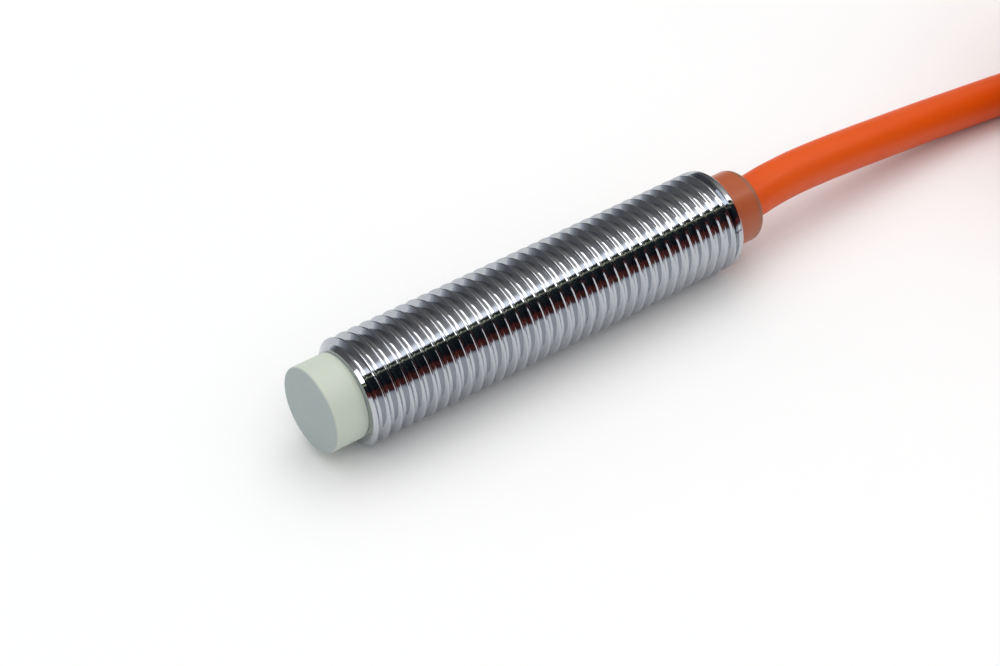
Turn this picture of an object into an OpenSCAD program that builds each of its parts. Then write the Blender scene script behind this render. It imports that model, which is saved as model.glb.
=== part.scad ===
// Cylindrical inductive proximity sensor with a threaded barrel and a fixed cable.
// The sensor lies on its side: the sensing face looks along -Y, the cable leaves along +Y.
// The origin is under the middle of the sensor, on the surface that it lies on.

/* [Barrel] */
// Outer diameter of the thread
thread_d = 8; // [7.5:0.1:12]
// Pitch of the thread
thread_pitch = 1; // [0.75:0.05:1.25]
// Length of the threaded barrel
barrel_len = 34.2; // [28:0.1:60]
// Wall of the barrel under the roots of the thread
barrel_wall = 0.44; // [0.3:0.02:0.6]
// Distance from the front of the barrel to the first crest
first_crest = 0.5; // [0.45:0.05:1]
// Plain ring behind the last groove of the thread
end_ring = 0.6; // [0.5:0.1:3]
// Radius of the barrel's rear edge
rear_edge_r = 0.3; // [0.1:0.05:0.4]

/* [Sensing cap] */
// Length of the cap in front of the barrel
cap_len = 2.7; // [2:0.1:5]
// Step from the roots of the thread down to the outside of the cap
cap_step = 0.14; // [0.05:0.01:0.3]
// Thickness of the cap's front wall
cap_front = 0.6; // [0.4:0.1:1]
// Thickness of the cap's side wall inside the barrel
skirt_wall = 0.45; // [0.3:0.05:0.6]
// Length of the cap inside the barrel
skirt_len = 5.5; // [4:0.5:8]
// Radius of the cap's front edge
cap_edge_r = 0.2; // [0.1:0.01:0.5]

/* [Coil] */
// Height of the ferrite pot core
core_h = 2.35; // [2.2:0.05:3]
// Depth of the winding groove in the pot core
groove_h = 1.6; // [1.4:0.05:1.8]
// Radius of the pot core's centre post
post_r = 0.85; // [0.7:0.05:0.95]
// Thickness of the pot core's outer wall
core_wall = 0.4; // [0.3:0.05:0.5]
// Thickness of the bobbin's flanges and hub
bobbin_wall = 0.16; // [0.1:0.02:0.2]
// Length of the carrier behind the pot core
carrier_len = 2; // [1.6:0.1:3]
// Diameter of the coil's leads
lead_d = 0.22; // [0.1:0.02:0.3]

/* [Electronics] */
// Thickness of the circuit board
board_t = 0.6; // [0.4:0.1:0.8]
// Distance from the circuit board to the end of the cable's jacket
board_gap = 2.7; // [1.5:0.1:6]
// Thickness of the copper pads
pad_t = 0.05; // [0.03:0.01:0.1]
// Length of the screening sleeve
sleeve_len = 13; // [8:1:20]
// Wall of the screening sleeve
sleeve_wall = 0.12; // [0.08:0.02:0.2]

/* [Rear end] */
// Length of the bushing behind the barrel
bush_len = 3.1; // [2:0.1:6]
// Outside diameter of the bushing behind the barrel
bush_d = 5.8; // [5:0.1:5.9]
// Length of the bushing inside the barrel
plug_len = 4; // [3:0.1:5]
// Radius of the bushing's rear edge
bush_edge_r = 0.4; // [0.2:0.05:0.8]
// Length of the strain relief ring on the jacket
relief_len = 2; // [1:0.5:3]
// Wall of the strain relief ring
relief_wall = 0.35; // [0.2:0.05:0.5]

/* [Cable] */
// Diameter of the cable's jacket
cable_d = 3.5; // [3.2:0.1:3.8]
// Diameter of each insulated core
core_d = 0.95; // [0.8:0.05:1]
// Diameter of each bare conductor
wire_d = 0.5; // [0.3:0.05:0.6]

/* [Hank] */
// Radius of the inner loops of the hank
loop_r = 11.5; // [10.5:0.1:14]
// Distance between neighbouring turns in one layer
turn_gap = 3.65; // [3.5:0.05:4]
// Distance between the layers
layer_gap = 3.55; // [3.5:0.05:4]
// Layers of turns
layers = 5; // [4:1:6]
// Length of the straight runs
run_len = 66.5; // [52:0.5:70]
// How far each side is drawn in at the tie
waist_in = 6; // [2:0.5:7]
// Thickness of the tie
tie_t = 0.9; // [0.6:0.1:1.5]
// Width of the tie
tie_w = 4.5; // [3:0.5:8]

/* [Hidden] */
$fn = 64;
tiny = 0.05;
clear = 0.05;
winding_gap = 0.1;
board_margin = 0.3;
board_socket = 0.8;
sleeve_gap = 0.2;
jacket_in = 0.5;
relief_in = 1;

// Thread form: 60 degree flanks, crest land of an eighth of the pitch.
thread_depth = 0.6134 * thread_pitch;
land = thread_pitch / 8;
flank = thread_depth * tan(30);
crest_r = thread_d / 2;
root_r = crest_r - thread_depth;
bore_r = root_r - barrel_wall;
ring_start = barrel_len - end_ring;
crests = floor((ring_start - first_crest - land / 2 - 2 * flank) / thread_pitch) + 1;

// Places along the sensor, counted from the sensing face.
barrel_at = cap_len;
barrel_end = barrel_at + barrel_len;
total_len = barrel_end + bush_len;
skirt_end = barrel_at + skirt_len;
core_at = cap_front + clear;
carrier_at = core_at + core_h;
carrier_end = carrier_at + carrier_len;
board_at = carrier_end - board_socket;
sleeve_at = skirt_end + sleeve_gap;
plug_at = barrel_end - plug_len;
jacket_at = plug_at - jacket_in;
board_end = jacket_at - board_gap;
board_len = board_end - board_at;
relief_at = plug_at + relief_in;
relief_end = relief_at + relief_len;

// Radii from the outside in.
cap_r = root_r - cap_step;
cup_r = bore_r - skirt_wall;
core_r = cup_r - clear;
bobbin_out_r = core_r - core_wall - clear;
bobbin_in_r = post_r + clear;
winding_in_r = bobbin_in_r + bobbin_wall;
winding_out_r = bobbin_out_r - winding_gap;
lead_x = (winding_in_r + winding_out_r) / 2;
bobbin_at = core_at + clear;
bobbin_end = core_at + groove_h;
winding_at = bobbin_at + bobbin_wall;
winding_end = bobbin_end - bobbin_wall;
lead_end = board_at;
relief_r = cable_d / 2 + relief_wall;
board_w = 2 * (core_r - board_margin);
bush_r = bush_d / 2;
cable_r = cable_d / 2;
core_ins_r = core_d / 2;
wire_r = wire_d / 2;
// The three cores touch each other, nearly, inside the jacket.
core_gap = 0.03;
bundle_r = core_d / sqrt(3) + core_gap;
bundle_hole_r = bundle_r + core_ins_r;

// Component sizes: width across the board, length along it, height above it.
chip_size = [3, 3.4, 0.9];
transistor_size = [1.4, 2.9, 1];
regulator_size = [1.7, 2.9, 1];
resistor_size = [0.8, 1.6, 0.45];
capacitor_size = [0.8, 1.6, 0.8];
led_size = [1.6, 0.9, 0.8];
diode_r = 0.6;
diode_len = 2.6;

// Component places: across the board, share of its length from its front edge, side (1 top, -1 underside).
chip_place = [0, 0.18, 1];
transistor_place = [-0.9, 0.57, 1];
regulator_place = [0, 0.49, -1];
diode_places = [[-0.9, 0.7, -1], [0.9, 0.7, -1]];
resistor_places = [[-1.1, 0.375, 1], [0, 0.375, 1], [1.1, 0.375, 1], [1.1, 0.52, 1]];
capacitor_places = [[-1.1, 0.2, -1], [1.1, 0.2, -1], [0, 0.32, -1]];
led_places = [[-1.1, 0.97, -1], [1.1, 0.97, -1]];
pad_size = [1, 1.6];
pad_share = 0.81;
pad_spacing = 1.25;
core_lift = 0.02;
strip_gap = 0.2;
wire_len = 1.6;
solder_r = 0.6;
core_height = board_t / 2 + core_ins_r + core_lift;
pad_at = board_at + pad_share * board_len;
strip_at = pad_at + pad_size[1] / 2 + strip_gap;

// The cable's own places, in the sensor's frame.
axis_h = crest_r;
face_y = -total_len / 2;
cable_h = cable_r;

// Route of the cable's axis from the exit to the hank, in millimetres.
lead_route = [
    [0, 20, 4],
    [-0.18, 21.5, 4.06],
    [-0.34, 23, 4.1],
    [-0.48, 25, 4.08],
    [-0.57, 27, 3.99],
    [-0.63, 29.5, 3.81],
    [-0.7, 32, 3.56],
    [-0.79, 35, 3.21],
    [-0.87, 38, 2.86],
    [-0.92, 41, 2.52],
    [-0.9, 44, 2.22],
    [-0.76, 47.5, 1.95],
    [-0.48, 51, 1.8],
    [-0.08, 54, 1.75],
    [0.57, 57, 1.75],
    [1.5, 60, 1.75]
];

// The hank: the cable joins its inner left run at this place and leaves its outer right run.
join = [2.75, 65];
hank_x = join[0] + loop_r;
outer_r = loop_r + turn_gap;
hank_out_r = outer_r + cable_r;
hank_h = cable_d + (layers - 1) * layer_gap + tie_t;
hank_mid_y = join[1] + run_len / 2;
waist_r = hank_out_r - waist_in;
entry_y = 60;
entry_x = 1.5;
tail_x = hank_x + outer_r;
tail_y = 62;
tail_len = 5;
notch_side = 2.3;

// Routes of the three free cores, from the end of the jacket.
pigtail_routes = [
    [[28.9, 57, 1.5], [28.6, 54.5, 1.2], [28.1, 51, 0.7], [27.4, 47, 0.48], [26.8, 43, 0.48],
        [26.5, 39, 0.48], [26.6, 35.5, 0.48]],
    [[29.4, 57, 2.3], [29.4, 54.5, 1.9], [29.4, 51, 1], [29.2, 47, 0.48], [28.9, 43, 0.48],
        [28.7, 39, 0.48], [28.8, 35, 0.48]],
    [[29.9, 57, 1.5], [30.1, 54.5, 1.2], [30.5, 51, 0.7], [30.9, 47, 0.48], [31, 43, 0.48],
        [30.8, 39, 0.48], [30.4, 36, 0.48]]
];
tinned_len = 5;
twist_len = 9;

core_colors = ["saddlebrown", "#202020", "#1f5fc0"];
core_names = ["brown", "black", "blue"];
jacket_color = "#e05a10";

// ---------- helpers ----------

// Turns a piece made along +Z from the sensing face into its place along +Y.
// Before the turn, -Y is up and X stays as it is.
module along_sensor() {
    translate([0, face_y, axis_h]) rotate([-90, 0, 0]) children();
}

// A tube or disc about the sensor's axis, from one place to another.
module disc(from, to, r) {
    translate([0, 0, from]) cylinder(r = r, h = to - from);
}

module ring(from, to, r_out, r_in) {
    difference() {
        disc(from, to, r_out);
        disc(from - tiny, to + tiny, r_in);
    }
}

// A place on the board, at a height above its middle plane.
function on_board(place, height) = [place[0], -place[2] * height, board_at + place[1] * board_len];

// A box-shaped component that sits on one side of the board.
module component(size, place) {
    translate(on_board(place, board_t / 2 + size[2] / 2)) cube([size[0], size[2], size[1]], center = true);
}

function unit(v) = v / norm(v);

// A gentle step from 0 to 1.
function smooth(t) = t * t * (3 - 2 * t);

// Direction of a route at one of its points. Both ends run along the direction given.
function heading(route, i, dir) =
    i == 0 || i == len(route) - 1 ? dir : unit(route[i + 1] - route[i - 1]);

// One ring of a swept tube, square to the route.
function tube_ring(centre, dir, r, sides) =
    let (side = unit(cross(dir, abs(dir[2]) < 0.7 ? [0, 0, 1] : [0, 1, 0])), up = cross(side, dir))
    [for (k = [0:sides - 1]) centre + r * (cos(360 * k / sides) * side + sin(360 * k / sides) * up)];

// A closed tube swept along a route.
module swept_tube(route, r, dir, sides = 8) {
    n = len(route);
    rings = [for (i = [0:n - 1]) each tube_ring(route[i], heading(route, i, dir), r, sides)];
    walls = [for (i = [0:n - 2], k = [0:sides - 1])
        [i * sides + k, i * sides + (k + 1) % sides, (i + 1) * sides + (k + 1) % sides, (i + 1) * sides + k]];
    caps = [[for (k = [sides - 1:-1:0]) k], [for (k = [0:sides - 1]) (n - 1) * sides + k]];
    polyhedron(points = rings, faces = concat(walls, caps), convexity = 4);
}

// ---------- housing ----------

// Points of one ridge of the thread, as [radius, place].
function ridge(at) = [
    [root_r, at - land / 2 - flank],
    [crest_r, at - land / 2],
    [crest_r, at + land / 2],
    [root_r, at + land / 2 + flank]
];

// A quarter round of outside edges, as [radius, place], with the corner at [r, at].
function edge_round(r, at, edge, steps = 4) =
    [for (i = [0:steps]) [r - edge * (1 - cos(90 * i / steps)), at - edge * (1 - sin(90 * i / steps))]];

module threaded_barrel() {
    outline = concat(
        [[bore_r, 0], [root_r, 0]],
        [for (i = [0:crests - 1]) each ridge(first_crest + i * thread_pitch)],
        [[root_r, ring_start - flank], [crest_r, ring_start]],
        edge_round(crest_r, barrel_len, rear_edge_r),
        [[bore_r, barrel_len]]
    );
    color("silver") along_sensor() translate([0, 0, barrel_at])
        rotate_extrude() polygon(outline);
}

module sensing_cap() {
    front_edge = [for (p = edge_round(cap_r, 0, cap_edge_r)) [p[0], -p[1]]];
    outline = concat(
        [[0, cap_front], [cup_r, cap_front], [cup_r, skirt_end], [bore_r, skirt_end]],
        [[bore_r, barrel_at], [cap_r, barrel_at]],
        front_edge,
        [[0, 0]]
    );
    color("#cdd2c3") along_sensor() rotate_extrude() polygon(outline);
}

// The bushing is moulded round the jacket and round the strain relief ring.
module end_bushing() {
    outline = concat(
        [[cable_r, plug_at], [bore_r, plug_at], [bore_r, barrel_end], [bush_r, barrel_end]],
        edge_round(bush_r, total_len, bush_edge_r),
        [[cable_r, total_len], [cable_r, relief_end], [relief_r, relief_end]],
        [[relief_r, relief_at], [cable_r, relief_at]]
    );
    color("#c2683c", 0.8) along_sensor() rotate_extrude() polygon(outline);
}

module strain_relief_ring() {
    color("goldenrod") along_sensor() ring(relief_at, relief_end, relief_r, cable_r);
}

// ---------- sensing coil ----------

module ferrite_core() {
    color("#3a3a3c") along_sensor() difference() {
        disc(core_at, carrier_at, core_r);
        ring(core_at - tiny, core_at + groove_h, core_r - core_wall, post_r);
        for (side = [-1, 1]) lead_hole(side);
    }
}

module coil_bobbin() {
    color("ivory") along_sensor() difference() {
        disc(bobbin_at, bobbin_end, bobbin_out_r);
        disc(bobbin_at - tiny, bobbin_end + tiny, bobbin_in_r);
        ring(winding_at, winding_end, bobbin_out_r + tiny, winding_in_r);
        for (side = [-1, 1]) lead_hole(side);
    }
}

module coil_winding() {
    color("#b5652b") along_sensor() ring(winding_at, winding_end, winding_out_r, winding_in_r);
}

// A hole for a coil lead, from the winding to the board.
module lead_hole(side) {
    translate([side * lead_x, 0, winding_end]) cylinder(d = lead_d, h = lead_end - winding_end);
}

module coil_lead(side) {
    color("#b5652b") along_sensor() lead_hole(side);
}

module core_carrier() {
    color("#e8e4d8") along_sensor() difference() {
        disc(carrier_at, carrier_end, core_r);
        board_shape();
        for (side = [-1, 1]) lead_hole(side);
    }
}

module screening_sleeve() {
    color("#c9a24b") along_sensor() sleeve_shape();
}

module sleeve_shape() {
    ring(sleeve_at, sleeve_at + sleeve_len, bore_r, bore_r - sleeve_wall);
}

// ---------- electronics ----------

module board_shape() {
    translate([-board_w / 2, -board_t / 2, board_at]) cube([board_w, board_t, board_len]);
}

module circuit_board() {
    color("darkgreen") along_sensor() board_shape();
}

function pad_x(i) = (i - 1) * pad_spacing;

module wire_pad(i) {
    color("#c9853a") along_sensor() pad_shape(i);
}

module pad_shape(i) {
    component([pad_size[0], pad_size[1], pad_t], [pad_x(i), pad_share, 1]);
}

module boxed(size, place, shade) {
    color(shade) along_sensor() component(size, place);
}

module oscillator_chip() boxed(chip_size, chip_place, "#2a2a2c");
module output_transistor() boxed(transistor_size, transistor_place, "#2a2a2c");
module voltage_regulator() boxed(regulator_size, regulator_place, "#2a2a2c");
module chip_resistor(i) boxed(resistor_size, resistor_places[i], "#1c1c1e");
module chip_capacitor(i) boxed(capacitor_size, capacitor_places[i], "#b59a6a");
module status_led(i) boxed(led_size, led_places[i], "#ffd98a");

module diode_shape(i) {
    translate(on_board(diode_places[i], board_t / 2 + diode_r) - [0, 0, diode_len / 2])
        cylinder(r = diode_r, h = diode_len);
}

module protection_diode(i) {
    color("#a04030") along_sensor() diode_shape(i);
}

// Centre of a core in the bundle that fills the jacket: the middle core lies on top.
function bundle_place(i) = bundle_r * [cos(210 - 120 * i), -sin(210 - 120 * i)];

// An insulated core runs level over the board, bends into the bundle and goes on to the exit.
function core_route(i) =
    let (start = [pad_x(i), -core_height], end = bundle_place(i), bend = jacket_at - board_end)
    concat(
        [[start[0], start[1], strip_at]],
        [for (t = [0:0.25:1]) let (p = start + (end - start) * smooth(t)) [p[0], p[1], board_end + t * bend]],
        [[end[0], end[1], total_len]]
    );

module core_shape(i) {
    swept_tube(core_route(i), core_ins_r, [0, 0, 1]);
}

module core(i) {
    color(core_colors[i]) along_sensor() core_shape(i);
}

module wire_shape(i) {
    translate([pad_x(i), -core_height, strip_at - wire_len]) cylinder(r = wire_r, h = wire_len);
}

module wire_end(i) {
    color("#c07a45") along_sensor() wire_shape(i);
}

// A dome of solder on a pad, round the bare end of a core.
module solder_shape(i) {
    pad_top = board_t / 2 + pad_t;
    intersection() {
        translate(on_board([pad_x(i), pad_share, 1], pad_top)) sphere(r = solder_r);
        translate([pad_x(i) - solder_r, -pad_top - solder_r, pad_at - solder_r])
            cube([2 * solder_r, solder_r, 2 * solder_r]);
    }
}

module solder_joint(i) {
    color("#c8ccd0") along_sensor() difference() {
        solder_shape(i);
        wire_shape(i);
    }
}

module cable_entry() {
    color(jacket_color) along_sensor() ring(jacket_at, total_len, cable_r, bundle_hole_r);
}

// ---------- potting ----------

module electronics() {
    board_shape();
    component(chip_size, chip_place);
    component(transistor_size, transistor_place);
    component(regulator_size, regulator_place);
    for (place = resistor_places) component(resistor_size, place);
    for (place = capacitor_places) component(capacitor_size, place);
    for (place = led_places) component(led_size, place);
    for (i = [0:1]) diode_shape(i);
    for (i = [0:2]) {
        pad_shape(i);
        solder_shape(i);
        wire_shape(i);
        core_shape(i);
    }
}

module potting_resin() {
    color("#5a4632") along_sensor() difference() {
        union() {
            disc(carrier_end, skirt_end, cup_r);
            disc(skirt_end, plug_at, bore_r);
        }
        sleeve_shape();
        electronics();
        disc(jacket_at, plug_at + tiny, cable_r);
    }
}

// ---------- cable on the surface ----------

module cable_lead() {
    color(jacket_color) swept_tube(lead_route, cable_r, [0, 1, 0]);
}

// Half of the hank's width at a distance from its middle: widest at the loops.
function hank_half(d, inset) = waist_r + waist_in * smooth(abs(d) / (run_len / 2)) - inset;

function hank_side(side, inset, steps = 16) =
    [for (i = [0:steps]) let (d = side * run_len * (i / steps - 0.5)) [-side * hank_half(d, inset), d]];

function hank_loop(side, inset, steps = 16) =
    [for (i = [1:steps - 1]) let (a = 180 * i / steps, r = hank_out_r - inset)
        [-side * r * cos(a), side * (run_len / 2 + r * sin(a))]];

// Outline of the hank, or of the slot inside its turns.
module hank_outline(inset = 0) {
    polygon(concat(hank_side(1, inset), hank_loop(1, inset), hank_side(-1, inset), hank_loop(-1, inset)));
}

module cable_hank() {
    notch_h = cable_r + notch_side;
    color(jacket_color) difference() {
        translate([hank_x, hank_mid_y, 0]) linear_extrude(hank_h) difference() {
            hank_outline();
            hank_outline(turn_gap + cable_d);
        }
        tie_band();
        // The cable comes in under the outer turns.
        translate([entry_x + notch_side - hank_out_r, entry_y - hank_out_r, -tiny])
            cube([hank_out_r, hank_out_r, notch_h + tiny]);
        // The end of the cable leaves the outer turn.
        translate([tail_x - notch_side, tail_y - hank_out_r, -tiny])
            cube([hank_out_r, hank_out_r, notch_h + tiny]);
    }
}

module tie_band() {
    translate([hank_x, hank_mid_y + tie_w / 2, 0]) rotate([90, 0, 0]) linear_extrude(tie_w)
        difference() {
            translate([-waist_r - tie_t, 0]) square([2 * (waist_r + tie_t), hank_h + tie_t]);
            translate([-waist_r, tie_t]) square([2 * waist_r, hank_h - tie_t]);
        }
}

// The tie is a flat band whose twisted ends lie on the hank.
module hank_tie() {
    twist_z = hank_h + 1.7 * tie_t;
    color("#28282a") {
        tie_band();
        translate([hank_x, hank_mid_y, twist_z]) rotate([0, 90, 0]) cylinder(r = tie_t, h = twist_len);
    }
}

module cable_tail() {
    color(jacket_color) translate([tail_x, tail_y, cable_h]) rotate([90, 0, 0])
        cylinder(r = cable_r, h = tail_len);
}

module pigtail(i) {
    color(core_colors[i]) swept_tube(pigtail_routes[i], core_ins_r, [0, -1, 0]);
}

module tinned_end(i) {
    route = pigtail_routes[i];
    color("#c8ccd0") translate(route[len(route) - 1]) rotate([90, 0, 0]) cylinder(r = wire_r, h = tinned_len);
}

threaded_barrel();
sensing_cap();
ferrite_core();
coil_bobbin();
coil_winding();
for (i = [1:2]) coil_lead(2 * i - 3);
core_carrier();
screening_sleeve();
circuit_board();
for (i = [1:3]) wire_pad(i - 1);
oscillator_chip();
output_transistor();
voltage_regulator();
for (i = [1:2]) protection_diode(i - 1);
for (i = [1:4]) chip_resistor(i - 1);
for (i = [1:3]) chip_capacitor(i - 1);
for (i = [1:2]) status_led(i - 1);
for (i = [0:2]) core(i);
for (i = [1:3]) wire_end(i - 1);
for (i = [1:3]) solder_joint(i - 1);
potting_resin();
end_bushing();
strain_relief_ring();
cable_entry();
cable_lead();
cable_hank();
hank_tie();
cable_tail();
for (i = [0:2]) pigtail(i);
for (i = [1:3]) tinned_end(i - 1);
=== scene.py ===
"""Studio scene of a threaded inductive proximity sensor with its cable laid out and hanked."""

import logging
import math
from collections.abc import Sequence
from dataclasses import dataclass, field
from enum import Enum
from typing import Any

import bmesh
import bpy
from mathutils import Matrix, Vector


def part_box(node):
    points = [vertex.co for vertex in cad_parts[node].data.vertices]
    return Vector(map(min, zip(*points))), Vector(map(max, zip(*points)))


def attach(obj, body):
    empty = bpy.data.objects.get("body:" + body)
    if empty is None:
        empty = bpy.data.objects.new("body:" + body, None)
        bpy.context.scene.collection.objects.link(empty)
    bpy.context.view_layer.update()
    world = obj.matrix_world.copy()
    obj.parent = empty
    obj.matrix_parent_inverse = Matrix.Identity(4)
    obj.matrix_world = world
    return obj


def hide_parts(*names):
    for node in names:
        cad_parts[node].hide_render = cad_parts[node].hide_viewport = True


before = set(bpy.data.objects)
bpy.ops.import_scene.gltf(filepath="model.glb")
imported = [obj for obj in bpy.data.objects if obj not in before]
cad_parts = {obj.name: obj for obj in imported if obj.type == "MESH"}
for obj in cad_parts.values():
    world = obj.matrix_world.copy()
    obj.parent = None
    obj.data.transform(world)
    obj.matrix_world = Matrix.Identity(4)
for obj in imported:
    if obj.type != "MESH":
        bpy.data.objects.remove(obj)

LOG = logging.getLogger("sensor_scene")
MM = 0.001
WELD_GAP = 0.002 * MM
CUT_GAP = 0.0001 * MM
MIX_FACTOR, MIX_FIRST, MIX_SECOND, MIX_RESULT = 0, 6, 7, 2
WHITE = (1, 1, 1, 1)
Point = tuple[float, float, float]
Colour = tuple[float, float, float]
Outline = list[tuple[float, float]]
Corners = Sequence[tuple[float, float, float]]
Piece = bpy.types.Object
Socket = bpy.types.NodeSocket


class Core(Enum):
    """The insulated cores of the cable, by their wire colour code."""

    BROWN = "brown"
    BLACK = "black"
    BLUE = "blue"


# ---------- modelling helpers ----------


def clear_selection() -> None:
    """Deselects every object, so that an operator acts on nothing left over."""
    for obj in bpy.context.selected_objects:
        obj.select_set(False)
    bpy.context.view_layer.objects.active = None


def select_only(*objects: Piece) -> None:
    """Selects the objects given and makes the first one active.

    Args:
        objects: What the next operator is to act on.
    """
    clear_selection()
    for obj in objects:
        obj.select_set(True)
    bpy.context.view_layer.objects.active = objects[0]


def edit(obj: Piece) -> None:
    """Opens an object in edit mode."""
    select_only(obj)
    bpy.ops.object.mode_set(mode="EDIT")


def close_edit() -> None:
    """Goes back to object mode."""
    bpy.ops.object.mode_set(mode="OBJECT")


def pick_border(obj: Piece, place: float, reach: float) -> None:
    """Selects the border edges of an edit mesh that lie near a place along the sensor.

    Args:
        obj: An object that is open in edit mode.
        place: The place along Y.
        reach: How far from it an edge's middle may be.
    """
    bpy.ops.mesh.select_mode(type="EDGE")
    bpy.ops.mesh.select_all(action="DESELECT")
    mesh = bmesh.from_edit_mesh(obj.data)
    for edge in mesh.edges:
        middle = sum((vert.co for vert in edge.verts), Vector()) / 2
        if edge.is_boundary and abs(middle.y - place) < reach:
            edge.select_set(True)
    bmesh.update_edit_mesh(obj.data)


def trace(name: str, points: Sequence[Point]) -> Piece:
    """Draws a chain of edges through some points.

    Args:
        name: Name of the new object.
        points: The chain's points, in metres.

    Returns:
        The new object, open in edit mode, with all of the chain selected.
    """
    clear_selection()
    bpy.ops.mesh.primitive_plane_add(size=MM, location=(0, 0, 0))
    obj = bpy.context.object
    obj.name = obj.data.name = name
    bpy.ops.object.mode_set(mode="EDIT")
    bpy.ops.mesh.select_mode(type="VERT")
    bpy.ops.mesh.merge(type="CENTER")
    bpy.ops.transform.translate(value=points[0])
    for before, after in zip(points, points[1:]):
        step = tuple(b - a for a, b in zip(before, after))
        bpy.ops.mesh.extrude_region_move(TRANSFORM_OT_translate={"value": step})
    bpy.ops.mesh.select_all(action="SELECT")
    return obj


def weld(obj: Piece) -> None:
    """Merges the doubles of an edit mesh and turns its faces outwards."""
    bpy.ops.mesh.select_all(action="SELECT")
    bpy.ops.mesh.remove_doubles(threshold=WELD_GAP)
    bpy.ops.mesh.normals_make_consistent(inside=False)


def lathe(name: str, corners: Corners, axis_height: float, steps: int) -> Piece:
    """Turns an outline with rounded corners about the sensor's axis.

    Args:
        name: Name of the new object.
        corners: Corners as (radius, place along Y, fillet radius), in metres.
        axis_height: Height of the axis above the surface.
        steps: Number of faces round the axis.

    Returns:
        The turned object, in object mode.
    """
    obj = trace(name, [(r, y, axis_height) for r, y in fillet(corners)])
    bpy.ops.mesh.spin(steps=steps, angle=math.tau, center=(0, 0, axis_height), axis=(0, 1, 0))
    weld(obj)
    close_edit()
    return obj


def span(node: str) -> tuple[float, float, float]:
    """Returns a turned node's front and rear places along Y and the height of its axis."""
    low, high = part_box(node)
    return low.y, high.y, (high.z + low.z) / 2


def metres(points: Sequence[Point]) -> list[Point]:
    """Turns points in millimetres into points in metres."""
    return [(x * MM, y * MM, z * MM) for x, y, z in points]


def fillet(corners: Corners, steps: int = 6) -> Outline:
    """Rounds the corners of an outline.

    Args:
        corners: Points as (radius, place, fillet radius), with no fillet where it is 0.
        steps: Number of segments in each fillet.

    Returns:
        The points of the rounded outline.
    """
    outline: Outline = []
    for i, (r, y, size) in enumerate(corners):
        if size == 0 or i in (0, len(corners) - 1):
            outline.append((r, y))
            continue
        here = Vector((r, y))
        back = (Vector(corners[i - 1][:2]) - here).normalized()
        on = (Vector(corners[i + 1][:2]) - here).normalized()
        half = back.angle(on) / 2
        centre = here + (back + on).normalized() * (size / math.sin(half))
        start, end = here + back * (size / math.tan(half)), here + on * (size / math.tan(half))
        for k in range(steps + 1):
            t = k / steps
            spoke = (start - centre).lerp(end - centre, t).normalized() * size
            outline.append(tuple(centre + spoke))
    return outline


def apply_modifiers(obj: Piece) -> None:
    """Applies every modifier of an object, in order."""
    select_only(obj)
    for name in [m.name for m in obj.modifiers]:
        bpy.ops.object.modifier_apply(modifier=name)


def smooth(obj: Piece, degrees: float = 30) -> None:
    """Shades an object smooth, apart from edges sharper than an angle."""
    select_only(obj)
    bpy.ops.object.shade_smooth_by_angle(angle=math.radians(degrees))


def soft_step(t: float) -> float:
    """A gentle step from 0 to 1, level at both ends."""
    t = min(max(t, 0.0), 1.0)
    return t * t * (3 - 2 * t)


def curve_tube(name: str, points: Sequence[Point], radius: float, sides: int) -> Piece:
    """Makes a round tube along a smooth curve through some points.

    Args:
        name: Name of the new object.
        points: Points of the curve's line, in metres.
        radius: Radius of the tube.
        sides: Number of faces round the tube, a multiple of 4.

    Returns:
        The curve object.
    """
    data = bpy.data.curves.new(name, "CURVE")
    data.dimensions = "3D"
    data.resolution_u = data.render_resolution_u = 6
    data.bevel_depth = radius
    data.bevel_resolution = (sides - 4) // 2
    data.use_fill_caps = True
    spline = data.splines.new("BEZIER")
    spline.bezier_points.add(len(points) - 1)
    for knot, place in zip(spline.bezier_points, points):
        knot.co = place
        knot.handle_left_type = knot.handle_right_type = "AUTO"
    spline.use_smooth = True
    obj = bpy.data.objects.new(name, data)
    bpy.context.scene.collection.objects.link(obj)
    return obj


# ---------- shader helpers ----------


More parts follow.
